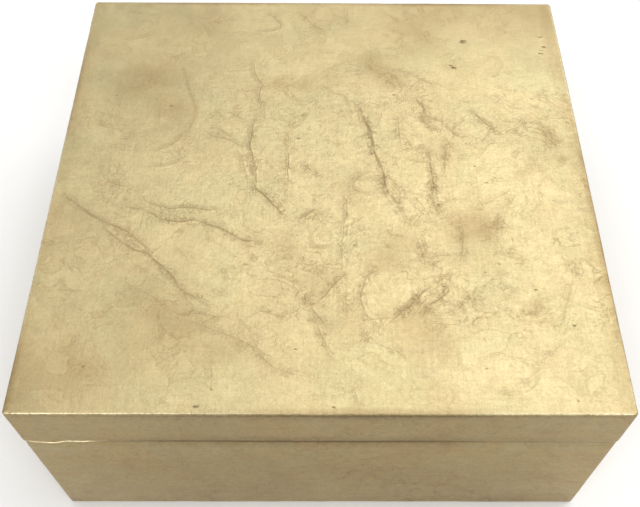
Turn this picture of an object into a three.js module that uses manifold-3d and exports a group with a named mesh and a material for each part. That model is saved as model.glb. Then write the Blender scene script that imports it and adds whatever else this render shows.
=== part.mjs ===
// A square gilded wooden box with a lift-off lid. Millimetres, +Z up, the front faces -Y.
// The origin is on the surface that the box stands on, under the middle of the box.
//
// The base is four grooved walls with mitred corners round a bottom panel. Four thinner liners stand inside
// the walls and rise past the rim, and the lid drops over them. The lid is four mitred rails with a rabbet
// that holds a flush top panel. Felt lines the floor, the lid and the underside.

import * as THREE from "three";
import { mergeVertices } from "three/addons/utils/BufferGeometryUtils.js";
import Module from "manifold-3d";

const wasm = await Module();
wasm.setup();

// Driving dimensions
const LID_WIDTH = 152; // outside, square in plan
const LID_OVERHANG = 0.15; // the lid past the base, on each side
const BOX_HEIGHT = 62; // felt, base and lid together
const LID_HEIGHT = 16;
const BOARD = 6.5; // thickness of the base's walls
const RAIL = 6.2; // thickness of the lid's rails, which leaves play round the lip
const CORNER_RADIUS = 1.2; // the upright outer corners, in plan
const ARRIS_RADIUS = 0.6; // the long outer edges, worn soft
const SEAM_ARRIS_RADIUS = 0.35; // the two edges that meet at the lid's seam
const ARC_STEPS = 4; // straight pieces in each rounded edge

const BASE_FELT = 0.6; // the underside sheet
const FELT_INSET = 2; // the underside sheet, back from the walls' outer faces
const LID_FELT = 1.2;
const FLOOR_FELT = 1.5;
const LINING_CLEARANCE = 0.3;

const BOTTOM_PANEL = 4;
const GROOVE_RISE = 3; // from a wall's lower edge up to the groove
const GROOVE_DEPTH = 3;
const GROOVE_SLACK = 0.2; // round the panel's edge and over it

const LINER = 3; // liner thickness
const LINER_RISE = 7; // the lip that stands above the rim
const LINER_LEAD_IN = 0.9; // rounding that guides the lid on
const LINER_INNER_ROUND = 0.5;
const LINER_CORNER_RADIUS = 0.5; // the upright outer corners of the ring of liners

const TOP_PANEL = 4.5;
const RAIL_TOP = 4.4; // width of rail that shows round the top panel
const RAIL_LEAD_IN = 0.8; // chamfer inside the rails' lower edge

// Sizes that follow
const baseWidth = LID_WIDTH - 2 * LID_OVERHANG;
const wallHeight = BOX_HEIGHT - LID_HEIGHT - BASE_FELT;
const rim = BASE_FELT + wallHeight; // where the lid's rails rest
const panelTop = BASE_FELT + GROOVE_RISE + BOTTOM_PANEL;
const linerWidth = baseWidth - 2 * BOARD; // outside of the ring of liners
const linerHeight = rim + LINER_RISE - panelTop;
const lidPanelUnderside = BOX_HEIGHT - TOP_PANEL;

// Finishes
const gilding = { color: 0xd9c48f, roughness: 0.42, metalness: 0.8 };
const redwood = { color: 0x6e4326, roughness: 0.6, metalness: 0 };
const plywood = { color: 0xb08d62, roughness: 0.75, metalness: 0 };
const wineFelt = { color: 0x541c20, roughness: 1, metalness: 0 };
const darkFelt = { color: 0x3a2c24, roughness: 1, metalness: 0 };

// A closed geometry as a manifold-3d solid.
function solidOf(geometry) {
  const bare = geometry.clone();
  bare.deleteAttribute("normal");
  bare.deleteAttribute("uv");
  const merged = mergeVertices(bare, 1e-4);
  return new wasm.Manifold(
    new wasm.Mesh({
      numProp: 3,
      vertProperties: merged.attributes.position.array,
      triVerts: new Uint32Array(merged.index.array),
    }),
  );
}

// The geometry of a manifold-3d solid.
function geometryOf(solid) {
  const { vertProperties, triVerts } = solid.getMesh();
  return new THREE.BufferGeometry()
    .setAttribute("position", new THREE.BufferAttribute(vertProperties, 3))
    .setIndex(new THREE.BufferAttribute(triVerts, 1));
}

// The quarter of a rounded square between the mitres at its two front corners, drawn anticlockwise.
function frontQuarter(width, cornerRadius) {
  const half = width / 2;
  const centre = half - cornerRadius;
  const quarter = new THREE.Shape();
  quarter.absarc(-centre, -centre, cornerRadius, 1.25 * Math.PI, 1.5 * Math.PI);
  quarter.absarc(centre, -centre, cornerRadius, 1.5 * Math.PI, 1.75 * Math.PI);
  quarter.lineTo(0, 0);
  quarter.closePath();
  return quarter;
}

// A front board with mitred ends. Its section is drawn with x inwards from the outer face and y up.
function mitredBoard(section, width, cornerRadius, height) {
  const extrude = { bevelEnabled: false, curveSegments: ARC_STEPS };
  const length = new THREE.ExtrudeGeometry(section, { ...extrude, depth: width });
  const alongX = new THREE.Matrix4().makeBasis(
    new THREE.Vector3(0, 1, 0),
    new THREE.Vector3(0, 0, 1),
    new THREE.Vector3(1, 0, 0),
  );
  length.applyMatrix4(alongX).translate(-width / 2, -width / 2, 0);
  const quarter = new THREE.ExtrudeGeometry(frontQuarter(width, cornerRadius), {
    ...extrude,
    depth: height + 2,
  });
  quarter.translate(0, 0, -1);
  return geometryOf(solidOf(length).intersect(solidOf(quarter)));
}

// Rounds the section's corner at (x, z) with the arc that starts at startAngle, in quarter turns.
function roundCorner(section, x, z, radius, startAngle) {
  const towardsX = startAngle === 1 || startAngle === 2 ? 1 : -1;
  const towardsZ = startAngle >= 2 ? 1 : -1;
  const start = (startAngle * Math.PI) / 2;
  section.absarc(x + towardsX * radius, z + towardsZ * radius, radius, start, start + Math.PI / 2);
}

function wallSection() {
  const s = new THREE.Shape();
  const grooveTop = GROOVE_RISE + BOTTOM_PANEL + GROOVE_SLACK;
  roundCorner(s, 0, 0, ARRIS_RADIUS, 2);
  s.lineTo(BOARD, 0);
  s.lineTo(BOARD, GROOVE_RISE);
  s.lineTo(BOARD - GROOVE_DEPTH, GROOVE_RISE);
  s.lineTo(BOARD - GROOVE_DEPTH, grooveTop);
  s.lineTo(BOARD, grooveTop);
  s.lineTo(BOARD, wallHeight);
  roundCorner(s, 0, wallHeight, SEAM_ARRIS_RADIUS, 1);
  s.closePath();
  return s;
}

function linerSection() {
  const s = new THREE.Shape();
  s.moveTo(0, 0);
  s.lineTo(LINER, 0);
  roundCorner(s, LINER, linerHeight, LINER_INNER_ROUND, 0);
  roundCorner(s, 0, linerHeight, LINER_LEAD_IN, 1);
  s.closePath();
  return s;
}

function railSection() {
  const s = new THREE.Shape();
  roundCorner(s, 0, 0, SEAM_ARRIS_RADIUS, 2);
  s.lineTo(RAIL - RAIL_LEAD_IN, 0);
  s.lineTo(RAIL, RAIL_LEAD_IN);
  s.lineTo(RAIL, LID_HEIGHT - TOP_PANEL);
  s.lineTo(RAIL_TOP, LID_HEIGHT - TOP_PANEL);
  s.lineTo(RAIL_TOP, LID_HEIGHT);
  roundCorner(s, 0, LID_HEIGHT, ARRIS_RADIUS, 1);
  s.closePath();
  return s;
}

function mesh(name, geometry, finish) {
  const made = new THREE.Mesh(geometry, new THREE.MeshStandardMaterial(finish));
  made.name = name;
  return made;
}

// Four copies of a front board, turned round the box and named for their sides.
function ringOfBoards(kind, geometry, finish, height) {
  const ring = new THREE.Group();
  ["front", "right", "back", "left"].forEach((side, turn) => {
    const board = mesh(`${side}_${kind}`, geometry, finish);
    board.rotation.z = (turn * Math.PI) / 2;
    ring.add(board);
  });
  ring.position.z = height;
  return ring;
}

// A flat square sheet or panel whose underside is at the given height.
function flatSquare(name, width, thickness, finish, height) {
  const square = mesh(name, new THREE.BoxGeometry(width, width, thickness), finish);
  square.position.z = height + thickness / 2;
  return square;
}

function base() {
  const walls = mitredBoard(wallSection(), baseWidth, CORNER_RADIUS, wallHeight);
  const liners = mitredBoard(linerSection(), linerWidth, LINER_CORNER_RADIUS, linerHeight);
  const grooveWidth = linerWidth + 2 * (GROOVE_DEPTH - GROOVE_SLACK);
  const padWidth = linerWidth - 2 * (LINER + LINING_CLEARANCE);
  const made = new THREE.Group();
  made.add(
    flatSquare("underside_felt", baseWidth - 2 * FELT_INSET, BASE_FELT, darkFelt, 0),
    ringOfBoards("wall", walls, gilding, BASE_FELT),
    flatSquare("bottom_panel", grooveWidth, BOTTOM_PANEL, plywood, BASE_FELT + GROOVE_RISE),
    ringOfBoards("liner", liners, redwood, panelTop),
    flatSquare("floor_lining", padWidth, FLOOR_FELT, wineFelt, panelTop),
  );
  return made;
}

function lid() {
  const rails = mitredBoard(railSection(), LID_WIDTH, CORNER_RADIUS, LID_HEIGHT);
  const liningWidth = LID_WIDTH - 2 * (RAIL + LINING_CLEARANCE);
  const made = new THREE.Group();
  made.add(
    ringOfBoards("lid_rail", rails, gilding, rim),
    flatSquare("lid_top_panel", LID_WIDTH - 2 * RAIL_TOP, TOP_PANEL, gilding, lidPanelUnderside),
    flatSquare("lid_lining", liningWidth, LID_FELT, wineFelt, lidPanelUnderside - LID_FELT),
  );
  return made;
}

const box = new THREE.Group();
box.add(base(), lid());

export default box;
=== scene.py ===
"""The look of a square gilded box with a lift-off lid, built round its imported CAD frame."""

import itertools
import math
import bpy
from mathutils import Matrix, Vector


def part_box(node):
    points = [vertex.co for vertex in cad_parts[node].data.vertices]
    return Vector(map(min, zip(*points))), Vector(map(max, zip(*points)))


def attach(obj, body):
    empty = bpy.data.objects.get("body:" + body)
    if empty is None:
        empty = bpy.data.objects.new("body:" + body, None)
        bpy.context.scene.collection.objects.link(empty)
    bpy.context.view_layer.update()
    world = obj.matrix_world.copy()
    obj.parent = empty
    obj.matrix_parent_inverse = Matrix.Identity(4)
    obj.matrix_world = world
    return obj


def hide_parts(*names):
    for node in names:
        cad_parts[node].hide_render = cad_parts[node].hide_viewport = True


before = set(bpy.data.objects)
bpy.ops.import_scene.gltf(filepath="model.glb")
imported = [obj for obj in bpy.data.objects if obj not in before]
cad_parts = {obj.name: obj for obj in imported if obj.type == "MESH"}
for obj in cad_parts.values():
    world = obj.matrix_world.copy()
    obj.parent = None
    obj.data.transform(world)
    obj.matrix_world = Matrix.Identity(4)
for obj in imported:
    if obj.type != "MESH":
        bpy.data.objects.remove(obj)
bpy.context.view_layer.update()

from types import SimpleNamespace

import bmesh
import bpy
import numpy as np
from mathutils import Vector

MM = 0.001

# The boards and panels, measured on the CAD frame, in millimetres
lid_corner, lid_far = (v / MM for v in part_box("front_lid_rail"))
wall_corner, wall_far = (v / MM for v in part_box("front_wall"))
liner_corner, liner_far = (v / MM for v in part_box("front_liner"))
top_corner, top_far = (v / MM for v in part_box("lid_top_panel"))
bottom_corner, bottom_far = (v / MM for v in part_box("bottom_panel"))
LID_HALF = -lid_corner.y
BASE_HALF = -wall_corner.y
LINER_HALF = -liner_corner.y
PANEL_HALF = top_far.x
BOARD = wall_far.y - wall_corner.y
RAIL = lid_far.y - lid_corner.y
LINER = liner_far.y - liner_corner.y
RAIL_TOP = LID_HALF - PANEL_HALF
GROOVE = bottom_far.x - (BASE_HALF - BOARD)
SEAM = lid_corner.z
LID_TOP = lid_far.z
PANEL_UNDERSIDE = top_corner.z

# Roundings and play, as on the CAD's boards
CORNER = 1.2  # the upright outer corners
LINER_CORNER = 0.5
ARRIS = 0.6  # the long outer edges
SEAM_ARRIS = 0.35  # the two edges that meet at the seam
RAIL_LEAD_IN = 0.8
LINER_LEAD_IN = 0.9
LINER_INNER_ROUND = 0.5
GROOVE_SLACK = 0.2

# Cells of the meshes
PANEL_CELL = 0.52
BOARD_CELL = 0.6
FELT_CELL = 1.2
COARSE_CELL = 2.5
EDGE_POINTS = 6  # along each rounded edge of a section
CORNER_POINTS = 5  # along each half of an upright corner, and each rounded edge of a sheet

SIDES = ["front", "right", "back", "left"]
RIGHT = SIDES.index("right")
SIDE_SHIFT = 211  # moves the grain on from one board to the next
LID_SHIFT = 300  # and from the base's boards to the lid's
PANEL_SHIFT = 900
FAR = 20  # for points that are nowhere near an edge
NO_FOLD = 9  # for points that are nowhere near a fold
LEDGE = 0.95  # how far the base's rim stands out at the front's left end

# How worn the lid's arris is, and how much painted shade lies along the seam under the lid's overhang, along
# the front, by millimetres right of its middle
FRONT_RUN = (-76, -60, -40, -20, -10, 20, 34, 44, 76)
FRONT_ARRIS_WEAR = (0.05, 0.1, 0.3, 0.45, 0.9, 1, 0.75, 0.25, 0.05)
FRONT_SEAM_WEAR = (0, 0.05, 0.8, 1, 1, 1, 0.72, 0.45, 0.2)

# What the leaf's material is told about every point, by the vector that carries it, with its plain value
LEAF_VECTORS = {
    "lay": {"up": 0, "cover": 1, "is_fold": 0},
    "edges": {"drop": FAR, "inset": FAR, "from_seam": FAR},
    # The third vector: how worn the arris is, how much painted shade lies along the seam, and the painted
    # reflection of the floor towards the bottom.
    "wear": {"arris_wear": 0, "seam_wear": 0, "foot": 0},
    "fold": {"away_x": NO_FOLD, "away_y": NO_FOLD, "half_width": 0.05},
    "marks": {"fold_strength": 0, "stain": 0, "band": 0},
}


# Noise and shaping, all seeded

LATTICE = 24  # cells along each side of the noise, which then repeats
LATTICES = [np.random.default_rng(seed).uniform(-1, 1, (LATTICE,) * 3) for seed in range(6)]


def noise(points, size, seed):
    """Smooth noise from -1 to 1 with blobs of about the given size."""
    scaled = points / size
    cell = np.floor(scaled).astype(int)
    part = scaled - cell
    part = part * part * (3 - 2 * part)
    total = np.zeros(len(points))
    for corner in itertools.product((0, 1), repeat=3):
        index = (cell + corner) % LATTICE
        weight = np.prod(np.where(corner, part, 1 - part), axis=1)
        total += weight * LATTICES[seed][index[:, 0], index[:, 1], index[:, 2]]
    return total


def smooth(low, high, value):
    t = np.clip((value - low) / (high - low), 0, 1)
    return t * t * (3 - 2 * t)


def wandered(points, *waves):
    """Points in plan, moved about by noise. A wave is its reach, its size, and its seeds along x and y."""
    plan = points[:, :2].copy()
    for reach, size, *seeds in waves:
        for axis, seed in enumerate(seeds):
            plan[:, axis] += reach * noise(points, size, seed)
    return plan


# The wrinkles of the leaf on the lid, in millimetres rightwards and forwards from the lid's back left corner.
# Each stroke is its strength, its width and the points it runs through.

FOLDS = [
    # Towards the back
    (0.55, 0.26, [(57, 6), (59.5, 7.5), (60.7, 9.7), (62, 11.7), (61.6, 13.6), (59, 14.7), (55, 15)]),
    (0.55, 0.22, [(68, 6), (70.5, 8.5), (72, 11), (74, 13), (76, 15), (77, 18)]),
    (0.35, 0.16, [(74, 3), (73.3, 6), (73, 9.5)]),
    (0.35, 0.16, [(84, 3.5), (83.8, 7), (84, 12)]),
    (0.35, 0.2, [(97, 6), (100.5, 9.5)]),
    (0.3, 0.2, [(14, 18.6), (17, 18.3), (20.5, 16.8)]),
    (0.4, 0.2, [(97, 31.5), (105.5, 36.5), (114.5, 41)]),
    # The long crease right of the middle, and the marks beside it
    (0.45, 0.3, [(76, 40), (79, 43), (82.3, 44.5), (84, 48), (85.3, 51)]),
    (1.15, 0.27, [(87.2, 48.5), (88.4, 54.5), (89.9, 59), (90.5, 63), (91.2, 67.5), (92.3, 72), (93.5, 75)]),
    (1.15, 0.25, [(92.6, 73), (93.6, 76), (93.7, 80), (94.5, 82.5), (96.3, 85)]),
    (0.7, 0.14, [(94.5, 81.5), (95.5, 84.5), (98, 88), (99.5, 93.5)]),
    (0.6, 0.2, [(96.3, 79.5), (97.6, 81.5), (98, 84), (97.6, 87), (97.4, 89), (98.3, 91.8), (99.1, 94.8)]),
    (0.45, 0.16, [(90, 75), (87.5, 76.5), (85.5, 78.7), (84.9, 81), (86.5, 82.7), (90.5, 84)]),
    # The line left of the middle
    (0.7, 0.13, [(54.3, 29.5), (54.8, 33), (55.8, 36.5), (57.3, 39.5), (56.5, 43), (57, 48), (57.1, 54.3)]),
    (1.0, 0.16, [
        (56.4, 55), (55.5, 56.6), (55.3, 60.5), (54.8, 66), (55.7, 69.3), (56.9, 76), (57.3, 79.5),
    ]),
    (1.15, 0.19, [(55.5, 78), (56.8, 80.5), (57.6, 82), (59.8, 84), (62, 87), (64, 89.5), (65, 91)]),
    (0.5, 0.2, [(40.5, 58.5), (43.5, 61.5), (47, 62.7), (50.5, 64.2), (54, 66.5)]),
    (0.35, 0.14, [(45.5, 59), (48, 61.5), (51.5, 63.8)]),
    (0.55, 0.16, [(51, 66.5), (52.8, 70.5), (53.5, 73.8), (54.8, 76.7), (56.3, 79.8)]),
    # The middle
    (1.3, 0.08, [(70, 92.4), (74.2, 90), (75.3, 92.2)]),
    (0.4, 0.1, [(66.4, 56), (66, 62), (66, 68)]),
    (0.95, 0.09, [(66, 68.3), (66.2, 72), (66.2, 78)]),
    (0.4, 0.1, [(66.2, 78), (66.2, 86)]),
    (0.85, 0.1, [(70.5, 72.3), (72.2, 74.2), (73.6, 76.2), (74.4, 77.8)]),
    (0.35, 0.14, [(63.4, 79.4), (65.2, 77.6)]),
    (0.6, 0.12, [(82.9, 83), (82.8, 92), (82, 94), (82, 99), (81.2, 101), (81.3, 110)]),
    (0.35, 0.12, [(81.6, 116.1), (81.6, 123.3)]),
    (0.4, 0.12, [(82.6, 114.3), (82.4, 119), (82.4, 124.8)]),
    (0.35, 0.14, [(83.5, 99.6), (85.8, 97), (88.8, 95.9)]),
    # To the right
    (0.65, 0.12, [(98.9, 54), (98.6, 59), (98.7, 64)]),
    (0.6, 0.18, [(99.5, 60), (101, 63.5), (102.5, 66.8), (105, 66.3), (107, 67.3)]),
    (0.5, 0.16, [(101, 70.3), (103.5, 71.3), (107, 71.3)]),
    (1.0, 0.17, [(107, 67.5), (107, 72), (107.2, 76.5), (107.5, 80), (107.2, 83.5), (106.6, 85.5)]),
    (0.8, 0.16, [(107.2, 84), (107.1, 86.5), (107.8, 89), (108.6, 91)]),
    (0.9, 0.14, [(106.2, 83.3), (106.3, 86)]),
    (0.8, 0.14, [(111.5, 65.5), (111.6, 70), (111.2, 73.8), (110.6, 75.8)]),
    (0.85, 0.18, [(104.5, 45.5), (106.5, 50), (107.6, 53), (110, 54.6), (112.8, 55)]),
    (0.7, 0.16, [(105.3, 51), (106.3, 55), (108.2, 57.3), (109.7, 59), (110.5, 61)]),
    (0.8, 0.18, [(118.5, 54.5), (117, 56), (115.2, 57.6), (114, 59.6)]),
    (0.75, 0.18, [(112.8, 57), (114.6, 59.6), (116.8, 61.6)]),
    (0.7, 0.16, [(111.9, 61), (112.8, 63), (113.3, 65)]),
    (0.85, 0.2, [(120.8, 50.8), (122.6, 53), (124.2, 55.2), (126, 57.3), (128.5, 59.5)]),
    (0.5, 0.12, [(118.9, 88), (120, 86.5), (121.4, 89.5)]),
    (0.45, 0.15, [(130.3, 83.7), (129, 86), (127.5, 88.4)]),
    (0.4, 0.14, [(121, 85.5), (125.5, 84.3), (128, 82.5), (128.8, 81.3)]),
    (0.4, 0.12, [(125.7, 77.4), (127, 79)]),
    (0.6, 0.2, [(125.1, 91), (124.4, 93.6), (124, 97)]),
    (0.55, 0.18, [(114.3, 94), (114.6, 96.3), (113.9, 101.1), (113.6, 104.1), (112.8, 106.8)]),
    (0.5, 0.14, [(101.9, 98.9), (102.6, 101.9), (103, 104.9), (103.8, 108.6)]),
    (0.45, 0.12, [(104.1, 97), (104.1, 101.9), (103.7, 106)]),
    (0.45, 0.13, [(105.3, 105.6), (107.5, 104.9), (110.5, 104.7)]),
    # The fan of creases from the left edge
    (0.85, 0.24, [
        (4, 84), (8.5, 88), (11.5, 90.5), (14, 92), (18, 94.3), (23.5, 97), (25.3, 99.3), (30.5, 104),
    ]),
    (0.6, 0.16, [(9, 89), (12, 91), (15, 93.2), (17.5, 95.8)]),
    (0.85, 0.2, [(16.3, 95.8), (20, 98.7), (25.6, 103.2), (29.8, 105), (35, 110), (39.9, 116), (46.5, 121)]),
    (0.7, 0.3, [(40.5, 116.5), (44, 119), (47, 121.5)]),
    (0.5, 0.2, [(15, 79), (18, 80), (20.5, 81.2), (24, 83)]),
    (0.8, 0.18, [(25.8, 84.8), (27.5, 86.6), (30.5, 87.8), (34, 88.6), (39, 88.6), (44, 89.4), (47, 88.8)]),
    (0.95, 0.2, [
        (21.5, 88), (26, 89.4), (30, 91.2), (33, 92.7), (37, 93.2), (41, 93.2), (44.5, 94.2), (50, 95.4),
    ]),
    (0.85, 0.2, [(40, 92), (43.5, 94.2), (48, 95.6), (50.5, 97), (54, 99.5), (61, 100.5)]),
    (0.35, 0.14, [(18.3, 90.3), (20.3, 91.3), (22.5, 91.6)]),
    (0.45, 0.18, [(26, 73.2), (30, 73.2), (32, 72.5), (35, 71.5), (38.5, 71.2)]),
    (0.45, 0.2, [(27, 67), (30, 66), (33, 63.6), (35.5, 60)]),
    (0.4, 0.5, [(36.5, 61), (38, 52), (35.5, 42), (32.5, 32)]),
    (0.3, 0.14, [(26.6, 45), (27, 51), (27.6, 58)]),
    (0.3, 0.14, [(24.9, 106.6), (29.8, 110.4), (36.9, 115.3)]),
    (0.3, 0.14, [(22.5, 112), (33, 119), (40, 124)]),
    (0.35, 0.14, [(45.5, 98.4), (47, 99.9)]),
    (0.4, 0.14, [(50, 108.9), (51.5, 111.5)]),
    (0.4, 0.14, [(56.8, 104), (59, 106.6)]),
    (0.35, 0.14, [(36.1, 102.5), (38.8, 104.4), (40.3, 106.6)]),
    # Towards the front
    (0.55, 0.14, [(41.4, 123.5), (45.5, 123.5), (48.5, 124.1), (51.1, 124.6)]),
    (0.5, 0.14, [(57.9, 124.1), (60.1, 122.6), (62.4, 123.1), (65, 124.1), (67.3, 123.9), (71, 121.5)]),
    (0.55, 0.13, [
        (42.5, 125.8), (51.5, 129.3), (57.5, 132.5), (62, 137), (65, 139.3), (68.4, 140.8), (73.3, 141.7),
    ]),
    (0.4, 0.12, [(53.8, 131.9), (56.4, 133.6), (58.6, 135.1)]),
    (0.5, 0.13, [(56, 125.8), (57.9, 129.1), (59.4, 132.5), (61.3, 134.8), (65, 136.6)]),
    (0.35, 0.12, [(57.5, 126.9), (59.8, 129.9), (61.6, 132)]),
    (0.7, 0.18, [(82.4, 110.9), (80.9, 112.4), (79, 114.6), (77.1, 117.6), (75.4, 119.5)]),
    (0.7, 0.13, [
        (75.6, 118.4), (74, 117.6), (72.2, 118.5), (71.8, 120), (73.2, 120.8), (75, 120.2), (75.8, 118.8),
    ]),
    (0.75, 0.14, [(73.2, 121.2), (74.4, 122.8), (76.3, 125.8), (77.8, 127.6)]),
    (0.7, 0.14, [(73.8, 123.3), (75.5, 128), (76.7, 131), (78.2, 134), (79.2, 136.3)]),
    (0.35, 0.12, [(49, 135.5), (49.2, 144.1)]),
    (0.65, 0.15, [
        (89.5, 107.5), (89.3, 109.8), (87.6, 112), (86.1, 118), (86.5, 121), (88.4, 124.6), (93.6, 124.4),
    ]),
    (0.45, 0.13, [(87.3, 126.6), (86.5, 128.9), (88, 130.4), (87.3, 132.6)]),
    (0.95, 0.2, [(104.5, 115), (102.3, 116.9), (99.3, 120.6), (97.4, 122.1), (94, 124.8)]),
    (0.9, 0.18, [(108.2, 115), (109, 116.2), (106.8, 118.6), (103.4, 121), (101.8, 123.8)]),
    (0.55, 0.15, [(114.6, 117.3), (113.1, 119.1), (111.6, 121.4), (107.5, 123.3)]),
    (0.4, 0.12, [(113.5, 118.9), (119, 118.9)]),
    (0.4, 0.1, [(103.6, 124.6), (109, 124.7)]),
    (0.5, 0.1, [(103.8, 126.1), (111.3, 126.5)]),
    (0.35, 0.12, [(131.8, 120.3), (131.2, 121.9), (130, 122.7), (126, 122.8)]),
    (0.35, 0.12, [(119.5, 147.2), (122.5, 145.2), (124.5, 143.2), (127.5, 141), (129.8, 138.6)]),
    (0.35, 0.12, [(124.8, 146.2), (127.4, 144.6), (129.5, 142)]),
    (0.35, 0.12, [(131, 136.8), (133.5, 134.4), (135.5, 133), (138, 131)]),
    (0.3, 0.2, [(144, 105.5), (140.5, 117), (134.5, 132)]),
    (0.5, 0.12, [(84, 144.5), (85, 149)]),
]

# Pits and nicks in the leaf: strength, radius and place, on the same scale.
PITS = [
    (1.0, 0.55, 121, 19),
    (0.8, 0.4, 120.3, 19.6),
    (1.0, 0.42, 117, 31.5),
    (0.7, 0.3, 116.3, 30.6),
    (0.9, 0.35, 146, 17),
    (0.9, 0.35, 146.5, 22),
    (0.9, 0.35, 145, 25),
    (0.7, 0.28, 140, 45.1),
    (0.5, 0.25, 30, 49),
    (0.7, 0.3, 98, 43.6),
    (0.55, 0.22, 70, 52.4),
    (0.45, 0.2, 64, 29.8),
    (0.75, 0.28, 69, 62.3),
    (0.6, 0.25, 119.7, 72.6),
    (0.5, 0.3, 118, 64),
    (0.55, 0.24, 122.8, 78.8),
    (0.6, 0.3, 142, 57.2),
    (0.6, 0.2, 17.5, 138.5),
    (0.6, 0.22, 84.8, 101.3),
    (0.7, 0.22, 69.5, 133.8),
    (0.9, 0.4, 45.9, 149.6),
    (0.8, 0.28, 79, 150),
    (0.8, 0.25, 140.3, 126.4),
    (0.8, 0.24, 131.8, 115.5),
    (0.5, 0.2, 49.2, 144.9),
    (0.6, 0.22, 137.8, 147.8),
    (0.5, 0.2, 116.8, 139),
    (0.7, 0.28, 108, 114.8),
    (0.7, 0.22, 119, 110.3),
    (0.5, 0.25, 123, 107.5),
]

# Tarnished patches, and some wide ones that only darken or lighten broad stretches of the top: depth of tone,
# radius and place, on the same scale. Bright ones are negative.
PATCHES = [
    (0.85, 11, 22, 35),
    (0.4, 8, 17, 44),
    (0.7, 8, 31, 53),
    (0.4, 12, 36, 12),
    (0.85, 8, 92, 29),
    (0.7, 6, 98, 37),
    (0.4, 9, 105, 17),
    (0.85, 9, 117, 96),
    (0.6, 6, 95, 104),
    (0.65, 9, 102, 129),
    (0.45, 5, 67, 101.5),
    (0.6, 2.2, 52.6, 98.8),
    (0.55, 8, 30.5, 118),
    (0.5, 10, 45, 131),
    (0.7, 3.6, 143, 60.5),
    (0.7, 2.6, 145.5, 69.5),
    (0.4, 8, 37, 126),
    (0.35, 10, 8, 96),
    (0.6, 4, 62, 39.5),
    (0.6, 4, 70, 39),
    (-0.6, 3.5, 60, 33),
    (-0.6, 3.5, 68, 33),
    (0.3, 8, 138, 70),
    (0.3, 7, 20, 140),
    (-0.4, 12, 120, 142),
    (-0.35, 9, 138, 40),
    (-0.4, 5, 147, 43),
    (-0.3, 14, 128, 78),
    (0.3, 7, 74, 112),
    (0.35, 5, 80, 126),
    (0.35, 7, 83, 80.5),
    (0.3, 5, 78, 37),
    (0.3, 6, 112, 66),
    # From here on, wide patches that only darken or lighten broad stretches of the top.
    (0.6, 19, 112, 2),
    (0.6, 19, 142, 3),
    (0.25, 17, 78, 0),
    (0.45, 15, 6, 144),
    (0.3, 18, 22, 134),
    (0.25, 18, 110, 152),
    (-0.16, 32, 62, 76),
    (0.14, 24, 72, 144),
]


def curved(points, step=1):
    """A smooth curve through the given points, as points a short step apart and each one's share of it."""
    line = np.array(points, float)
    line = np.vstack([2 * line[0] - line[1], line, 2 * line[-1] - line[-2]])
    made = [line[1]]
    for before, a, b, after in zip(line, line[1:], line[2:], line[3:]):
        steps = max(2, round(math.dist(a, b) / step))
        for t in np.arange(1, steps + 1) / steps:
            bend = (2 * before - 5 * a + 4 * b - after) * t**2 + (3 * a - before - 3 * b + after) * t**3
            made.append(a + 0.5 * ((b - before) * t + bend))
    return np.array(made), np.linspace(0, 1, len(made))


def mark_pieces():
    """The starts, ends and traits of the short pieces of every fold and pit. The traits are strength, half
    width, share of the stroke at each end, and 1 for a fold or 0 for a pit."""
    ends, traits = [], []
    for strength, width, stroke in FOLDS:
        line, share = curved(stroke)
        for k in range(len(line) - 1):
            ends.append((line[k], line[k + 1]))
            traits.append((strength, width / 2, share[k], share[k + 1], 1))
    for strength, radius, x, y in PITS:
        ends.append(((x - radius, y), (x + radius, y + 0.4 * radius)))
        traits.append((1.8 * strength, 0.3 * radius, 0.5, 0.5, 0))
    ends = np.array(ends, float) * (1, -1) + (-LID_HALF, LID_HALF)
    return ends[:, 0], ends[:, 1], np.array(traits)


STARTS, ENDS, TRAITS = mark_pieces()
MARK_REACH = 3  # no mark tells on a point further off than this
BLOCK = 1024  # points that are looked at together


def folds_near(points):
    """For points on the lid's top, what the leaf's material is told about the nearest fold or pit."""
    plan = wandered(points, (0.25, 7, 1, 3), (0.22, 2.6, 2, 4), (0.14, 1.3, 0, 5))
    away = np.full((len(points), 2), NO_FOLD, float)
    half_width = np.full(len(points), LEAF_VECTORS["fold"]["half_width"])
    strength, is_fold = np.zeros(len(points)), np.ones(len(points))
    low = np.minimum(STARTS, ENDS) - MARK_REACH
    high = np.maximum(STARTS, ENDS) + MARK_REACH
    for begin in range(0, len(plan), BLOCK):
        some = slice(begin, begin + BLOCK)
        near = ((low < plan[some].max(0)) & (high > plan[some].min(0))).all(1)
        if not near.any():
            continue
        along = (ENDS - STARTS)[near][None]
        gap = plan[some, None, :] - STARTS[near][None]
        t = np.clip((gap * along).sum(2) / (along**2).sum(2), 0, 1)
        there = t[..., None] * along - gap
        reach = np.sqrt((there**2).sum(2))
        row, nearest = np.arange(len(reach)), reach.argmin(1)
        depth, half, share, next_share, kind = TRAITS[near][nearest].T
        share = share + t[row, nearest] * (next_share - share)
        taper = 0.3 + 0.7 * np.sqrt(np.sin(np.pi * np.clip(share, 0.02, 0.98)))
        away[some] = there[row, nearest]
        half_width[some] = half
        strength[some] = depth * taper * (1 - smooth(1.6, 2.6, reach[row, nearest]))
        is_fold[some] = kind
    away_x, away_y = away.T
    return dict(away_x=away_x, away_y=away_y, half_width=half_width, fold_strength=strength, is_fold=is_fold)


def stain_at(points):
    plan = wandered(points, (4.5, 11, 2, 4), (1.6, 4, 3, 5))
    total = np.zeros(len(points))
    for tone, radius, x, y in PATCHES:
        reach = np.hypot(plan[:, 0] - (x - LID_HALF), plan[:, 1] - (LID_HALF - y))
        total += tone * np.exp(-((reach / (0.85 * radius)) ** 2))
    return total


def band_at(points):
    """The strips along the lid's right and left edges where the rails show through the leaf."""
    wander = 0.8 * noise(points, 9, 5)
    right = smooth(PANEL_HALF - 1.5, PANEL_HALF + 1.5, points[:, 0] + wander)
    left = 0.6 * smooth(PANEL_HALF - 1, PANEL_HALF + 1.6, -points[:, 0] + wander)
    return right + left


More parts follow.
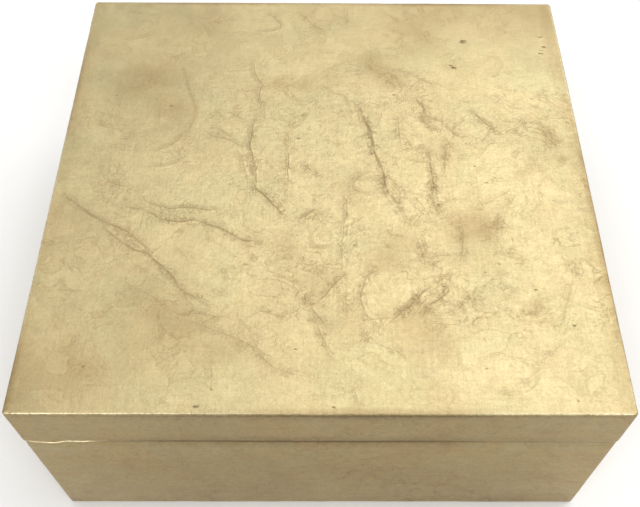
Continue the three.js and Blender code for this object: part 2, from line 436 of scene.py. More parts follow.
def edge_wear(run, flat, quarter):
    """How worn the lid's arris is, and how much painted shade lies along the seam, from 0 to 1, at points
    along one side.
    """
    if quarter == 0:
        return np.interp(run, FRONT_RUN, FRONT_ARRIS_WEAR), np.interp(run, FRONT_RUN, FRONT_SEAM_WEAR)
    return smooth(-0.5, 0.5, noise(flat, 38, 2)), smooth(-0.8, 0.3, noise(flat, 33, 4))


def top_relief(points, folds):
    """How far the gilded top stands above its flat plane, in millimetres."""
    reach = np.hypot(folds["away_x"], folds["away_y"])
    gentle = 0.05 * noise(points, 28, 0) + 0.03 * noise(points, 9, 1)
    wrinkled = 0.014 * noise(points, 3.4, 2) + 0.008 * noise(points, 1.7, 3)
    ridge = 0.1 * folds["fold_strength"] * folds["is_fold"] * np.exp(-((reach / 0.8) ** 2))
    return gentle + wrinkled + ridge - 0.12


def side_relief(points):
    """How far a gilded side stands out from its flat plane, in millimetres."""
    gentle = 0.07 * noise(points, 40, 1) + 0.03 * noise(points, 11, 2)
    return gentle + 0.012 * noise(points, 3.5, 3) + 0.006 * noise(points, 1.8, 4) - 0.11


# Mesh building

def direction(start, end):
    return (end - start) / np.linalg.norm(end - start)


def rounded_outline(*corners):
    """A closed section from (depth, height, radius, step) corners. Points lie a step apart up to the next."""
    points = []
    for k, (x, z, radius, step) in enumerate(corners):
        following = corners[(k + 1) % len(corners)]
        here, after = np.array([x, z], float), np.array(following[:2], float)
        arriving = direction(np.array(corners[k - 1][:2], float), here)
        leaving = direction(here, after)
        turn = radius * (leaving - arriving)
        for angle in np.linspace(0, math.pi / 2, EDGE_POINTS) if radius else [0]:
            points.append(here + turn + radius * (arriving * math.sin(angle) - leaving * math.cos(angle)))
        start = here + radius * leaving
        end = after - following[2] * leaving
        steps = max(1, round(math.dist(start, end) / step))
        points.extend(start + (end - start) * i / steps for i in range(1, steps))
    return np.array(points)


def swept_board(section, half, corner, cell):
    """A front board with mitred ends, as (points, faces, outward, section index of each point)."""
    turn = np.linspace(math.pi / 4, 0, CORNER_POINTS)[:-1]
    stations = [(-1, angle, -1) for angle in turn]
    stations += [(0, 0, u) for u in np.linspace(-1, 1, round(2 * half / cell))]
    stations += [(1, angle, 1) for angle in turn[::-1]]
    depth, height = section.T
    inset = np.maximum(depth, corner)
    radius = np.maximum(corner - depth, 0)
    m = len(section)
    rows, outward = [], []
    for side, angle, u in stations:
        x = u * (half - inset) + side * radius * math.sin(angle)
        y = -(half - inset) - radius * math.cos(angle)
        rows.append(np.column_stack([x, y, height]))
        outward.append(np.tile([side * math.sin(angle), -math.cos(angle), 0], (m, 1)))
    last = (len(stations) - 1) * m
    faces = []
    for i in range(0, last, m):
        for j in range(m):
            k = (j + 1) % m
            faces.append((i + j, i + m + j, i + m + k, i + k))
    faces.append(tuple(range(m)))
    faces.append(tuple(last + j for j in reversed(range(m))))
    return np.concatenate(rows), faces, np.concatenate(outward), np.tile(np.arange(m), len(stations))


def turned(points, quarter):
    for _ in range(quarter):
        points = np.column_stack([-points[:, 1], points[:, 0], points[:, 2]])
    return points


def slab(low, high, cell, radius, fine_side):
    """A flat square sheet with rounded edges. Its fine side, 1 or -1, is a grid and the other side a fan."""
    half = (high[0] - low[0]) / 2
    thickness = high[2] - low[2]
    count = round(2 * half / cell)
    ticks = np.linspace(-1, 1, count + 1)
    grid_x, grid_y = np.meshgrid(ticks, ticks, indexing="ij")
    height = np.full(grid_x.size, thickness)
    points = [np.column_stack([grid_x.ravel() * (half - radius), grid_y.ravel() * (half - radius), height])]
    faces = []
    steps = range(count)
    for a in [i * (count + 1) + j for i in steps for j in steps]:
        faces.append((a, a + count + 1, a + count + 2, a + 1))
    edge = [(i, 0) for i in steps] + [(count, j) for j in steps]
    edge += [(count - i, count) for i in steps] + [(0, count - j) for j in steps]
    ring = [i * (count + 1) + j for i, j in edge]
    unit = np.array([(ticks[i], ticks[j]) for i, j in edge])
    arc = np.linspace(0, math.pi / 2, CORNER_POINTS)[1:]
    levels = [(radius * (1 - math.sin(a)), thickness - radius * (1 - math.cos(a))) for a in arc]
    levels += [(radius * (1 - math.cos(a)), radius * (1 - math.sin(a))) for a in [0, *arc]]
    start = grid_x.size
    for inset, z in levels:
        points.append(np.column_stack([unit * (half - inset), np.full(len(unit), z)]))
        below = [start + k for k in range(len(ring))]
        for k in range(len(ring)):
            after = (k + 1) % len(ring)
            faces.append((ring[k], below[k], below[after], ring[after]))
        ring = below
        start += len(ring)
    points.append(np.zeros((1, 3)))
    for k in range(len(ring)):
        faces.append((ring[k], start, ring[(k + 1) % len(ring)]))
    placed = np.concatenate(points)
    if fine_side < 0:
        placed[:, 2] = thickness - placed[:, 2]
        faces = [tuple(reversed(face)) for face in faces]
    return placed + ((low[0] + high[0]) / 2, (low[1] + high[1]) / 2, low[2]), faces


def new_object(name, data):
    made = bpy.data.objects.new(name, data)
    bpy.context.scene.collection.objects.link(made)
    return made


def weld(mesh):
    """Closes the mitres, where points of the section meet."""
    work = bmesh.new()
    work.from_mesh(mesh)
    bmesh.ops.remove_doubles(work, verts=work.verts, dist=1e-6)
    bmesh.ops.dissolve_degenerate(work, edges=work.edges, dist=1e-7)
    bmesh.ops.recalc_face_normals(work, faces=work.faces)
    work.to_mesh(mesh)
    work.free()


def piece(node, points, faces, material, body, vectors):
    """The mesh that stands for a CAD node, with the vectors that its material reads."""
    name = f"{node}_finish"
    mesh = bpy.data.meshes.new(name)
    mesh.from_pydata((points * MM).tolist(), [], faces)
    for key, values in vectors.items():
        layer = mesh.attributes.new(key, "FLOAT_VECTOR", "POINT")
        layer.data.foreach_set("vector", np.asarray(values, np.float32).ravel())
    mesh.materials.append(material)
    mesh.polygons.foreach_set("use_smooth", [True] * len(mesh.polygons))
    made = new_object(name, mesh)
    weld(mesh)
    mesh.set_sharp_from_angle(angle=math.radians(50))
    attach(made, body)
    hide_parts(node)
    return made


def leaf_vectors(grain, **values):
    """The vectors that the leaf's material reads. Values that aren't given are plain."""
    vectors = {"grain": grain}
    for vector, plain in LEAF_VECTORS.items():
        columns = [np.broadcast_to(values.get(name, plain[name]), len(grain)) for name in plain]
        vectors[vector] = np.column_stack(columns)
    return vectors


# Materials

class Field:
    """One output of a node. Arithmetic on it, and its methods, add the nodes that work out the result."""

    def __init__(self, nodes, socket):
        self.nodes, self.socket = nodes, socket

    def math(self, operation, first, second=0):
        return self.nodes.add("ShaderNodeMath", {0: first, 1: second}, operation=operation)

    def __add__(self, other):
        return self.math("ADD", self, other)

    def __sub__(self, other):
        return self.math("SUBTRACT", self, other)

    def __rsub__(self, other):
        return self.math("SUBTRACT", other, self)

    def __mul__(self, other):
        return self.math("MULTIPLY", self, other)

    def __truediv__(self, other):
        return self.math("DIVIDE", self, other)

    def __abs__(self):
        return self.math("ABSOLUTE", self)

    __radd__ = __add__
    __rmul__ = __mul__

    def root(self):
        return self.math("SQRT", self)

    def at_least(self, other):
        return self.math("MAXIMUM", self, other)

    def signed(self, amount):
        """Noise from 0 to 1 as a change of plus or minus the amount."""
        return (self - 0.5) * (2 * amount)

    def ramp(self, low, high, start=0, end=1):
        inputs = {"Value": self, "From Min": low, "From Max": high, "To Min": start, "To Max": end}
        return self.nodes.add("ShaderNodeMapRange", inputs, interpolation_type="SMOOTHSTEP")

    def blend(self, first, second):
        """The first colour where this is 0, and the second where it is 1."""
        inputs = {0: self, 6: first, 7: second}
        return self.nodes.add("ShaderNodeMix", inputs, 2, data_type="RGBA")

    def parts(self):
        made = self.nodes.node("ShaderNodeSeparateXYZ", {0: self})
        return [Field(self.nodes, part) for part in made.outputs]

    def scaled(self, amount):
        return self.nodes.add("ShaderNodeVectorMath", {0: self, 3: amount}, operation="SCALE")

    def stretched(self, x, y, z):
        return self.nodes.add("ShaderNodeVectorMath", {0: self, 1: (x, y, z)}, operation="MULTIPLY")

    def noise(self, scale, detail=2, roughness=0.5, distortion=0):
        inputs = {"Vector": self, "Scale": scale, "Detail": detail, "Roughness": roughness}
        return self.nodes.add("ShaderNodeTexNoise", {**inputs, "Distortion": distortion}, "Fac")

    def cells(self, scale):
        """For cells of no set shape, the reach to each one's middle and a random colour for each one."""
        made = self.nodes.node("ShaderNodeTexVoronoi", {"Vector": self, "Scale": scale}, feature="F1")
        return Field(self.nodes, made.outputs["Distance"]), Field(self.nodes, made.outputs["Color"])

    def wrinkles(self, scale, width, low, high):
        """Hairlines along the middle level of a noise, kept only where a slower noise is high."""
        line = abs(self.noise(scale, 5, 0.6, 0.9) - 0.5).ramp(width, 0)
        return line * self.noise(0.6 * scale, 3, 0.6).ramp(low, high)


class Nodes:
    """The node tree of a material or a world."""

    def __init__(self, owner):
        self.owner = owner
        owner.use_nodes = True
        self.tree = owner.node_tree
        self.tree.nodes.clear()

    def node(self, kind, inputs, **settings):
        """Adds a node. Its inputs are numbers, colours and fields."""
        made = self.tree.nodes.new(kind)
        for key, value in settings.items():
            setattr(made, key, value)
        for key, value in inputs.items():
            if isinstance(value, Field):
                self.tree.links.new(value.socket, made.inputs[key])
            else:
                made.inputs[key].default_value = value
        return made

    def add(self, kind, inputs, output=0, **settings):
        return Field(self, self.node(kind, inputs, **settings).outputs[output])

    def vector(self, name):
        return self.add("ShaderNodeAttribute", {}, "Vector", attribute_name=name)

    def place(self):
        """The place of a point in millimetres."""
        return self.add("ShaderNodeTexCoord", {}, "Object").scaled(1 / MM)

    def finish(self, kind, inputs, output_kind):
        self.node(output_kind, {0: self.add(kind, inputs)})
        return self.owner

    def surface(self, inputs, height):
        look = {**inputs, "Normal": self.add("ShaderNodeBump", {"Height": height, "Distance": MM})}
        return self.finish("ShaderNodeBsdfPrincipled", look, "ShaderNodeOutputMaterial")


def wood_tone(grain, dark, mid, light):
    """Fine straight grain that runs along the board, as (colour, height)."""
    slow = grain.stretched(0.012, 0.25, 0.25).noise(1, 3, 0.55, 0.6)
    fine = grain.stretched(0.05, 2.2, 2.2).noise(1, 4, 0.6, 0.3)
    pores = grain.stretched(0.12, 5.5, 5.5).noise(1, 2, 0.5).ramp(0.62, 0.78)
    tone = slow.ramp(0.3, 0.7).blend(mid, light)
    tone = (fine.ramp(0.42, 0.75) * 0.55).blend(tone, dark)
    tone = (pores * 0.5).blend(tone, dark)
    return tone, fine * -0.02 + pores * -0.05


# The leaf: hand-laid metal over a red-brown ground on wood. Its functions pass on what they make by name.

def leaf_places(n):
    """What the mesh tells each point, how strongly the leaf is worked there, and where its gold is darker."""
    at = SimpleNamespace(place=n.place(), grain=n.vector("grain"))
    for vector, plain in LEAF_VECTORS.items():
        for name, part in zip(plain, n.vector(vector).parts()):
            setattr(at, name, part)
    across, deep, _ = at.place.parts()
    at.on_side = 1 - at.up
    at.worked = deep.ramp(76, 5, 0.42, 1.05) * across.ramp(-80, 35, 0.66, 1.1)
    at.worked = at.worked * deep.ramp(-76, -40, 0.9, 1)
    at.busy = at.on_side + at.up * at.worked
    at.calm_front = deep.ramp(-76, -40, 0.65, 1)
    # Darker towards the back right of the top, along its front, and a little all over the top.
    back_right = deep.ramp(20, 72) * across.ramp(-20, 40)
    at.duller = at.up * (back_right * 0.06 + deep.ramp(-45, -75) * 0.03 + 0.018)
    return at


def leaf_texture(at):
    """Tone, from wide patches down to the crumpling and the grit of a single leaf."""
    place = at.place
    made = SimpleNamespace(
        wide=place.noise(0.022, 3, 0.5),
        patch=place.noise(0.085, 6, 0.62, 0.8),
        drift=place.noise(0.12, 5, 0.6, 1).ramp(0.36, 0.64),
        crumple=place.noise(0.38, 5, 0.66, 1.2).ramp(0.34, 0.66),
        mottle=place.noise(1, 5, 0.7, 0.6),
        speckle=place.noise(1.7, 3, 0.65).ramp(0.36, 0.64),
        grit=place.noise(4.5, 2, 0.6),
        nibble=place.noise(0.9, 5, 0.75),
        side_cloud=at.grain.noise(0.075, 5, 0.65, 0.5),
        along=at.grain.stretched(0.03, 1.5, 1.5).noise(1, 4, 0.65, 0.3),
    )
    made.cloud = made.patch.ramp(0.36, 0.64)
    hatch_x = place.stretched(0.09, 1.6, 0).noise(1, 3, 0.65, 0.4)
    hatch_y = place.stretched(1.6, 0.09, 0).noise(1, 3, 0.65, 0.4)
    made.hatch = at.up * (hatch_x * 0.8 + hatch_y * 1.2 - 1)
    made.brushed = (at.on_side + at.band * 1.3) * (made.along - 0.5)
    return made


def leaf_hair(at):
    """Fine wrinkles that wander over the leaf, each kind gathered in its own patches."""
    fine_share = at.on_side + at.up * at.worked * 0.6
    hair = at.place.wrinkles(0.055, 0.018, 0.46, 0.6) * 0.8 + at.place.wrinkles(0.12, 0.026, 0.46, 0.6)
    hair = hair + at.place.wrinkles(0.27, 0.04, 0.44, 0.62) * fine_share * 0.7
    hair = hair + at.place.wrinkles(0.6, 0.06, 0.46, 0.64) * fine_share * 0.6
    return hair * (at.on_side + at.up * at.calm_front * (at.worked * 0.7 + 0.3))


def leaf_folds(at, texture):
    """The folds: soft brown strokes of uneven width and depth, with finer lines in and beside them."""
    place, strength = at.place, at.fold_strength
    made = SimpleNamespace(reach=(at.away_x * at.away_x + at.away_y * at.away_y).root())
    ragged = (made.reach + (place.noise(1.1, 4, 0.7) - 0.5) * 0.7).at_least(0)
    broken = place.noise(0.32, 4, 0.65).ramp(0.32, 0.55)
    spread = at.half_width * (place.noise(0.25, 3, 0.6).ramp(0.3, 0.7) * 3.8 + 3)
    line = (ragged / spread).ramp(1.15, 0.1) * (broken * 0.65 + 0.35)
    side_hair = place.wrinkles(0.6, 0.07, 0.38, 0.56) * made.reach.ramp(2.6, 0.4) * at.is_fold
    made.crease = strength * line.at_least(side_hair * 0.7)
    made.thread = (made.reach - at.half_width * 0.8).ramp(0.14, -0.02) * broken * strength
    made.halo = made.reach.ramp(2.4, 0.2) * strength * at.is_fold * (texture.cloud + 0.4)
    made.lit = abs(ragged - (spread + 0.15)).ramp(0.4, 0) * strength * at.is_fold * texture.crumple
    made.ridge = made.reach.ramp(0.9, 0) * strength * at.is_fold
    return made


def leaf_wear(at, texture):
    """Pinholes and flecks everywhere; along the lid's arris and the seam, worn and rubbed marks, painted
    shadows under the arris and at the seam, painted highlights on the arris, the base's rim and the lid's
    lower edge, and a darker band below the worn arris.
    """
    nibble, nibbled = texture.nibble, texture.nibble.signed(1.6)
    clean_arris, clean_seam = 1 - at.arris_wear, 1 - at.seam_wear
    on_rail = at.on_side * at.drop.ramp(FAR - 1, FAR - 2)
    rubbed = at.up * (at.inset + nibbled).ramp(1.3, 0.2) * nibble.ramp(0.4, 0.6)
    # Painted highlight along the top of the base's rim, where the seam is not shaded.
    ledge = at.up * at.from_seam.ramp(0.7, 0.1) * clean_seam
    made = SimpleNamespace(on_rail=on_rail)

    cell_reach, cell_colour = at.place.cells(0.16)
    few = cell_colour.parts()[0].ramp(0.72, 0.95, 0, 0.05)
    made.pinhole = (few - cell_reach).ramp(0, 0.02)
    made.fleck = (nibble + at.on_side * at.drop.ramp(2, 0.2) * 0.16).ramp(0.8, 0.84)
    made.worn = made.fleck.at_least(made.pinhole)

    # Painted shadow: a dark line on the lid's side just under the arris, deeper where the arris is worn.
    below_arris = (abs(at.drop - 0.7) + nibbled).ramp(0.75, 0.2)
    made.under_arris = at.on_side * below_arris * (at.arris_wear * 0.8 + 0.2)
    made.soft_below = at.on_side * at.drop.ramp(4.5, 0.3) * at.arris_wear
    made.rubbed_brown = rubbed * at.arris_wear
    # Painted highlight: the rubbed top of the lid's arris, where it is not worn through, is painted pale,
    # partly as real polish; so is the top of the base's rim.
    made.polished = (rubbed * clean_arris).at_least(ledge * (nibble.ramp(0.35, 0.6) * 0.6 + 0.4))
    made.edge_band = at.up * at.inset.ramp(2.6, 0.8) * at.arris_wear
    # Painted shadow: a dark line at the seam, under the lid's overhang.
    made.seam_line = at.on_side * (at.from_seam + nibbled * 0.3).ramp(1.15, 0.45) * at.seam_wear
    # Painted highlight: a light line along the lid's lower edge, where the seam is not shaded.
    made.seam_lit = on_rail * at.from_seam.ramp(1, 0.3) * clean_seam * nibble.ramp(0.3, 0.6)
    # Painted shade that spreads a few millimetres from the seam.
    made.seam_stain = at.on_side * at.from_seam.ramp(5, 0.4) * at.seam_wear * (texture.cloud * 0.6 + 0.4)
    return made


def leaf_gold(at, texture, hair, folds, wear):
    """The gold's colour: pale on top; on the sides darker and rosier, partly their own browner leaf and
    partly painted shade, and lighter and greyer towards the bottom as a painted reflection of the floor;
    browned by stains and wrinkles.
    """
    browned = (
        0.1
        + at.stain * (0.28 + texture.crumple * 0.3 + texture.speckle * 0.14 + texture.cloud * 0.1)
        + (0.5 - texture.drift) * 0.15
        + (0.5 - texture.crumple) * 0.06
        + hair * 0.34
        + folds.halo * 0.22
        + at.band * 0.22
        + wear.edge_band * 0.35
    )
    green = at.place.noise(0.05, 5, 0.6, 0.5).ramp(0.45, 0.62)
    top = (green * 0.5).blend((0.652, 0.541, 0.298, 1), (0.59, 0.53, 0.29, 1))
    top = browned.at_least(0).blend(top, (0.365, 0.253, 0.116, 1))
    rosy = at.grain.noise(0.08, 4, 0.7, 0.8).ramp(0.57, 0.72)
    # The sides' gold is darker than the top's: partly its own browner leaf, partly painted shade.
    side = texture.side_cloud.ramp(0.38, 0.62).blend((0.408, 0.301, 0.143, 1), (0.366, 0.293, 0.147, 1))
    side = (rosy * 0.8).blend(side, (0.37, 0.249, 0.127, 1))
    # Painted reflection of the pale floor: greyer and lighter towards the bottom.
    side = (at.foot * 0.7).blend(side, (0.415, 0.325, 0.183, 1))
    side = (hair * 0.3).blend(side, (0.22, 0.15, 0.07, 1))
    return (at.on_side * 0.95).blend(top, side)


def leaf_tone(at, texture, folds, wear):
    """How light or dark the gold is, 1 being its own colour."""
    worked = (texture.crumple - 0.5) * 0.06 + (texture.speckle - 0.5) * 0.08 + texture.hatch * 0.2
    worked = worked + texture.mottle.signed(0.27) + texture.grit.signed(0.16)
    side = texture.side_cloud.signed(0.2)
    return (
        1
        - at.duller
        + texture.wide.signed(0.08)
        + (texture.cloud - 0.5) * 0.06
        + texture.brushed * 0.2
        + at.busy * worked
        + at.on_side * side
        + wear.on_rail * -0.05
        + wear.soft_below * -0.26
        # Painted shade near the seam.
        + wear.seam_stain * -0.26
        # Painted reflection of the floor towards the bottom.
        + at.foot * 0.05
        + folds.lit * 0.12
    )


def leaf_marks(colour, folds, wear):
    """The colour with every mark over the gold, painted highlights and painted shadows among them, one after
    another.
    """
    for share, mark in (
        # Painted highlights on the arris, the base's rim and the lid's lower edge.
        (wear.polished * 0.8, (0.88, 0.77, 0.52, 1)),
        (wear.seam_lit * 0.5, (0.62, 0.52, 0.32, 1)),
        (folds.crease * 0.48, (0.245, 0.172, 0.075, 1)),
        (folds.thread * 0.24, (0.17, 0.11, 0.045, 1)),
        (wear.rubbed_brown * 0.4, (0.26, 0.17, 0.08, 1)),
        (wear.pinhole * 0.7, (0.14, 0.085, 0.04, 1)),
        # Painted shadow under the arris, then painted shadow at the seam.
        (wear.under_arris * 0.58, (0.14, 0.085, 0.035, 1)),
        (wear.seam_line * 0.75, (0.125, 0.07, 0.022, 1)),
        (wear.fleck * 0.6, (0.17, 0.105, 0.05, 1)),
    ):
        colour = share.blend(colour, mark)
    return colour


def bare_board(at, texture):
    """What shows where the leaf stops: its red-brown ground, then wood, as (colour, height)."""
    ground_stops = (at.cover + at.place.noise(0.5, 3, 0.6).signed(0.2)).ramp(0.05, 0.15)
    wood, height = wood_tone(at.grain, (0.13, 0.06, 0.03, 1), (0.33, 0.19, 0.09, 1), (0.42, 0.26, 0.135, 1))
    ground = texture.mottle.ramp(0.3, 0.7).blend((0.13, 0.035, 0.02, 1), (0.19, 0.06, 0.035, 1))
    return ground_stops.blend(wood, ground), height


def leaf_roughness(at, texture, folds, wear):
    uneven = texture.patch.signed(0.1) + texture.mottle.signed(0.09)
    marks = at.stain * 0.05 + folds.crease * 0.12 + wear.polished * -0.12
    return uneven + marks + at.on_side * 0.05 + 0.43


def leaf_height(at, texture, hair, folds, wear):
    """The relief that is too fine for the mesh, in millimetres."""
    fine = texture.mottle * 0.04 + texture.grit * 0.006 + texture.crumple * 0.03
    swell = at.place.noise(0.42, 4, 0.6, 0.6) * 0.072
    lines = texture.hatch * 0.008 + texture.along * 0.012 + hair * -0.03
    marks = folds.ridge * 0.06 + folds.crease * -0.06 + wear.worn * -0.02
    return at.busy * (fine + swell) + lines + marks


def leaf_material():
    n = Nodes(bpy.data.materials.new("gilded_leaf"))
    at = leaf_places(n)
    texture = leaf_texture(at)
    hair = leaf_hair(at)
    folds = leaf_folds(at, texture)
    wear = leaf_wear(at, texture)
    leafed = (at.cover + at.place.noise(0.9, 4, 0.65).signed(0.35)).ramp(0.42, 0.5)
    bare, bare_height = bare_board(at, texture)
    gold = leaf_gold(at, texture, hair, folds, wear).scaled(leaf_tone(at, texture, folds, wear))
    metal = (0.93 - wear.worn * 0.8) * (1 - folds.crease * 0.1)
    relief = leaf_height(at, texture, hair, folds, wear)
    look = {
        "Base Color": leafed.blend(bare, leaf_marks(gold, folds, wear)),
        "Metallic": leafed * metal,
        "Roughness": leafed * leaf_roughness(at, texture, folds, wear) + (1 - leafed) * 0.62,
        "IOR": 1.5,
    }
    return n.surface(look, leafed * relief + (1 - leafed) * bare_height)


def wood_material(name, dark, mid, light, roughness, coat):
    n = Nodes(bpy.data.materials.new(name))
    tone, height = wood_tone(n.vector("grain"), dark, mid, light)
    cloud = n.place().noise(0.05, 3)
    look = {
        "Base Color": tone.scaled(cloud.signed(0.18) + 1),
        "Roughness": cloud.signed(0.06) + roughness,
        "Coat Weight": coat,
        "Coat Roughness": 0.3,
    }
    return n.surface(look, height)


def felt_material(name, deep, pale):
    """Pressed wool: fine tangled fibres, with slow changes of nap and a little lint."""
    n = Nodes(bpy.data.materials.new(name))
    place = n.place()
    tangle_x = place.stretched(0.8, 4.5, 2).noise(1, 4, 0.7, 2)
    tangle_y = place.stretched(4.5, 0.8, 2).noise(1, 4, 0.7, 2)
    fibre = tangle_x.at_least(tangle_y)
    nap = place.noise(0.05, 4, 0.6)
    lint = place.noise(2.6, 2, 0.8, 1.5).ramp(0.74, 0.8)
    tone = fibre.ramp(0.4, 0.75).blend(deep, pale).scaled(nap.signed(0.25) + 1)
    look = {
        "Base Color": (lint * 0.25).blend(tone, (0.3, 0.2, 0.19, 1)),
        "Roughness": 0.95,
        "Sheen Weight": 0.12,
        "Sheen Roughness": 0.4,
        "Sheen Tint": pale,
        "Specular IOR Level": 0.2,
    }
    return n.surface(look, fibre * 0.12 + nap * 0.2)


def floor_material():
    n = Nodes(bpy.data.materials.new("paper_sweep"))
    cloud = n.place().noise(0.01)
    tone = (cloud.signed(0.3) + 0.5).blend((0.93, 0.93, 0.925, 1), (0.91, 0.91, 0.905, 1))
    return n.surface({"Base Color": tone, "Roughness": 0.8}, n.place().noise(1.2, 4, 0.6) * 0.03)


LEAF = leaf_material()
REDWOOD = wood_material(
    "liner_redwood", (0.06, 0.02, 0.01, 1), (0.2, 0.08, 0.035, 1), (0.3, 0.135, 0.06, 1), 0.42, 0.25
)
PLYWOOD = wood_material(
    "bottom_plywood", (0.24, 0.13, 0.06, 1), (0.46, 0.3, 0.15, 1), (0.56, 0.38, 0.21, 1), 0.7, 0
)
WINE_FELT = felt_material("wine_felt", (0.06, 0.006, 0.009, 1), (0.19, 0.024, 0.03, 1))
BROWN_FELT = felt_material("brown_felt", (0.03, 0.018, 0.01, 1), (0.1, 0.062, 0.038, 1))


# The gilded boards of the base and the lid

wall_section = rounded_outline(
    (0, wall_corner.z, ARRIS, 1),
    (BOARD, wall_corner.z, 0, 1.5),
    (BOARD, bottom_corner.z, 0, 1.5),
    (BOARD - GROOVE - GROOVE_SLACK, bottom_corner.z, 0, 2),
    (BOARD - GROOVE - GROOVE_SLACK, bottom_far.z + GROOVE_SLACK, 0, 1.5),
    (BOARD, bottom_far.z + GROOVE_SLACK, 0, 4),
    (BOARD, wall_far.z, 0, 1),
    (0, wall_far.z, SEAM_ARRIS, BOARD_CELL),
)
rail_section = rounded_outline(
    (0, SEAM, SEAM_ARRIS, 1),
    (RAIL, SEAM, RAIL_LEAD_IN, 3),
    (RAIL, PANEL_UNDERSIDE, 0, 1),
    (RAIL_TOP, PANEL_UNDERSIDE, 0, 1.5),
    (RAIL_TOP, LID_TOP, 0, BOARD_CELL),
    (0, LID_TOP, ARRIS, BOARD_CELL),
)
liner_section = rounded_outline(
    (0, liner_corner.z, 0, 1),
    (LINER, liner_corner.z, 0, 3),
    (LINER, liner_far.z, LINER_INNER_ROUND, 1),
    (0, liner_far.z, LINER_LEAD_IN, 3),
)


def board_points(section, half, quarter):
    """The points of a gilded board in its place, and what its leaf depends on at each one, in millimetres."""
    front, faces, outward, index = swept_board(section, half, CORNER, BOARD_CELL)
    depth, height = section[index].T
    edge = np.roll(section, -1, axis=0) - np.roll(section, 1, axis=0)
    facing_up = (-edge[:, 0] / np.linalg.norm(edge, axis=1))[index]
    below_top = section[:, 1].max() - height
    flat = turned(front, quarter)
    run = front[:, 0]
    board = SimpleNamespace(front=front, faces=faces, flat=flat, depth=depth, height=height, run=run)
    board.outward = turned(outward, quarter)
    board.below_top, board.above_foot = below_top, height - section[:, 1].min()
    board.up = np.where(below_top < 1e-6, 1, smooth(0.2, 0.8, facing_up) * smooth(2, 0.5, below_top))
    board.arris_wear, board.seam_wear = edge_wear(run, flat, quarter)
    return board


def gilded_board(node, quarter, board, out, lift, shift, body, **leaf):
    """One gilded board, moved out and up by its relief, with what its leaf needs besides how worn its arris
    is and the seam's painted shade.
    """
    flat, depth = board.flat, board.depth
    near_side = smooth(2.4, 0.4, depth)
    to_edge = np.minimum(np.hypot(depth, board.below_top), np.hypot(depth, board.above_foot))
    worn_edge = 0.06 * (1 + noise(flat, 5, 1)) * np.exp(-((to_edge / 0.7) ** 2))
    moved = flat + board.outward * (near_side * (side_relief(flat) + out) - worn_edge)[:, None]
    moved[:, 2] += lift
    grain = board.front + (SIDE_SHIFT * (quarter + 1), 0, shift)
    wear = dict(up=board.up, arris_wear=board.arris_wear, seam_wear=board.seam_wear)
    piece(node, moved, board.faces, LEAF, body, leaf_vectors(grain, **wear, **leaf))


def wall(side, quarter):
    board = board_points(wall_section, BASE_HALF, quarter)
    flat, run, below_rim, above_foot = board.flat, board.run, board.below_top, board.above_foot
    lift = smooth(3, 0.5, below_rim) * (0.06 * noise(flat, 30, 5) - 0.08)
    lift += smooth(3, 0.5, above_foot) * 0.05 * (1 + noise(flat, 35, 3))
    # The rim is set in a little, least of all on the right, and stands out at the front's left end
    on_front = quarter == 0
    ledge = LEDGE * on_front * (1 - board.seam_wear) * smooth(8, 0.5, below_rim)
    ledge *= smooth(-50, -66, run) * smooth(-76, -72, run) * (0.75 + 0.35 * noise(flat, 4, 3))
    set_in = (0.05 if quarter == RIGHT else 0.22) * smooth(3.5, 0, below_rim)
    level = (below_rim < 0.5) | (above_foot < 0.5)
    leaf = {
        "cover": np.where(level, 1 - smooth(0, 3.4, board.depth), board.depth < 1),
        "from_seam": below_rim,
        # Painted reflection of the pale floor, strongest towards the bottom and at the front's left end.
        "foot": smooth(30, 0, above_foot) * (1 + 0.7 * on_front * smooth(-25, -65, run)),
    }
    gilded_board(f"{side}_wall", quarter, board, ledge - set_in, lift, 0, "base", **leaf)


def lid_rail(side, quarter):
    board = board_points(rail_section, LID_HALF, quarter)
    flat, depth, drop, from_seam = board.flat, board.depth, board.below_top, board.above_foot
    folds = folds_near(flat)
    lift = smooth(3, 0.5, drop) * top_relief(flat, folds)
    lift += smooth(3, 0.5, from_seam) * (0.16 + 0.1 * noise(flat, 38, 4))
    inner = (depth > RAIL - 0.1) | ((board.height < PANEL_UNDERSIDE + 0.1) & (depth > 1))
    folds["fold_strength"] = folds["fold_strength"] * board.up
    leaf = {
        "cover": np.where(from_seam < 0.5, 1 - smooth(0, 2.8, depth), ~inner),
        "drop": drop,
        "inset": depth,
        "from_seam": from_seam,
        "stain": stain_at(flat) * board.up,
        "band": band_at(flat) * board.up,
    }
    gilded_board(f"{side}_lid_rail", quarter, board, 0, lift, LID_SHIFT, "lid", **leaf, **folds)


def liner(side, quarter):
    front, faces, _, _ = swept_board(liner_section, LINER_HALF, LINER_CORNER, COARSE_CELL)
    flat = turned(front, quarter)
    flat[:, 2] += 0.06 * noise(flat, 20, 2) * smooth(4, 0, liner_far.z - flat[:, 2])
    grain = front + (SIDE_SHIFT * (quarter + 5), 0, 0)
    piece(f"{side}_liner", flat, faces, REDWOOD, "base", {"grain": grain})


# The panels and the sheets

def flat_piece(node, cell, radius, fine_side, material, body, shape):
    low, high = (np.array(v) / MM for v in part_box(node))
    points, faces = slab(low, high, cell, radius, fine_side)
    moved, vectors = shape(points, low, high)
    return piece(node, moved, faces, material, body, vectors)


def plain_panel(points, low, high):
    return points, {"grain": points}


def gilded_panel(points, low, high):
    folds = folds_near(points)
    moved = points.copy()
    moved[:, 2] += smooth(1, 0.2, high[2] - points[:, 2]) * top_relief(points, folds)
    leaf = {"up": 1, "stain": stain_at(points), "band": band_at(points)}
    return moved, leaf_vectors(points + PANEL_SHIFT, **leaf, **folds)


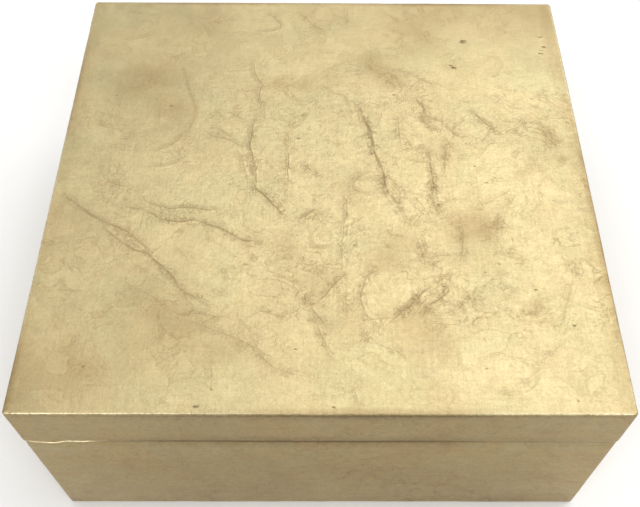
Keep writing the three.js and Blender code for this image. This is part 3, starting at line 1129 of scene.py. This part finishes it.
def soft_felt(points, low, high):
    """A pressed sheet: slightly uneven, with a cut edge that wanders."""
    edge = smooth(3, 0, high[0] - np.abs(points[:, :2]).max(1))
    middle = (low[2] + high[2]) / 2
    lofted = 0.04 * noise(points, 7, 2) + 0.05 * noise(points, 22, 3) - 0.09
    moved = points.copy()
    moved[:, 2] += np.sign(points[:, 2] - middle) * lofted
    moved[:, :2] *= (1 - edge * (0.0012 + 0.0012 * noise(points, 9, 4)))[:, None]
    return moved, {"grain": points}


for quarter, side in enumerate(SIDES):
    wall(side, quarter)
    lid_rail(side, quarter)
    liner(side, quarter)

flat_piece("lid_top_panel", PANEL_CELL, 0, 1, LEAF, "lid", gilded_panel)
flat_piece("bottom_panel", COARSE_CELL, 0.3, 1, PLYWOOD, "base", plain_panel)
floor_lining = flat_piece("floor_lining", FELT_CELL, 0.5, 1, WINE_FELT, "base", soft_felt)
lid_lining = flat_piece("lid_lining", FELT_CELL, 0.4, -1, WINE_FELT, "lid", soft_felt)
underside_felt = flat_piece("underside_felt", FELT_CELL, 0.4, -1, BROWN_FELT, "base", soft_felt)


# Floor, light and camera, in metres

def sweep():
    """A pale floor that reaches far enough to fill the view."""
    reach, count = 8, 40
    ticks = np.linspace(-reach, reach, count + 1)
    x, y = np.meshgrid(ticks, ticks, indexing="ij")
    points = np.column_stack([x.ravel(), y.ravel(), np.zeros(x.size)])
    row = count + 1
    corners = [i * row + j for i in range(count) for j in range(count)]
    mesh = bpy.data.meshes.new("floor")
    mesh.from_pydata(points.tolist(), [], [(a, a + row, a + row + 1, a + 1) for a in corners])
    mesh.materials.append(floor_material())
    new_object("floor", mesh)


def softbox(name, place, target, width, depth, power):
    light = bpy.data.lights.new(name, "AREA")
    light.shape = "RECTANGLE"
    light.size, light.size_y = width, depth
    light.energy = power
    lamp = new_object(name, light)
    lamp.location = place
    lamp.rotation_euler = (Vector(target) - Vector(place)).to_track_quat("-Z", "Y").to_euler()


def room():
    """An even pale room, dimmer on the front's side above the horizon, at the left and high at the back."""
    world = bpy.data.worlds.new("room")
    bpy.context.scene.world = world
    n = Nodes(world)
    x, y, z = n.add("ShaderNodeTexCoord", {}, "Generated").parts()
    strength = y.ramp(-0.75, 0.6, 0.25, 0.93) * y.ramp(0.6, 0.92, 1, 0.6) * x.ramp(-0.5, 0.05, 0.88, 1)
    horizon = z.ramp(0.08, 0.3, 1, 0)
    strength = strength * (1 - horizon) + horizon * 0.8
    look = {"Color": (1, 0.985, 0.96, 1), "Strength": strength}
    n.finish("ShaderNodeBackground", look, "ShaderNodeOutputWorld")


sweep()
room()
softbox("key", (0.42, 0.46, 1.05), (0, 0, 0.03), 1.5, 1.5, 7.6)
softbox("left_fill", (-0.42, -0.62, 1), (0, -0.1, 0), 0.35, 0.4, 3.4)
softbox("right_fill", (0.42, -0.62, 1), (0, -0.1, 0), 0.4, 0.4, 3)

camera = new_object("camera", bpy.data.cameras.new("camera"))
camera.location = (0.00138, -0.15894, 0.23664)
camera.rotation_euler = [math.radians(a) for a in (30.931, -0.281, -0.016)]
camera.data.sensor_width = 36
camera.data.lens = 45.62
camera.data.shift_x = -0.016
camera.data.shift_y = 0.1303
camera.data.clip_start = 0.01
bpy.context.scene.camera = camera
bpy.context.scene.view_settings.view_transform = "Standard"
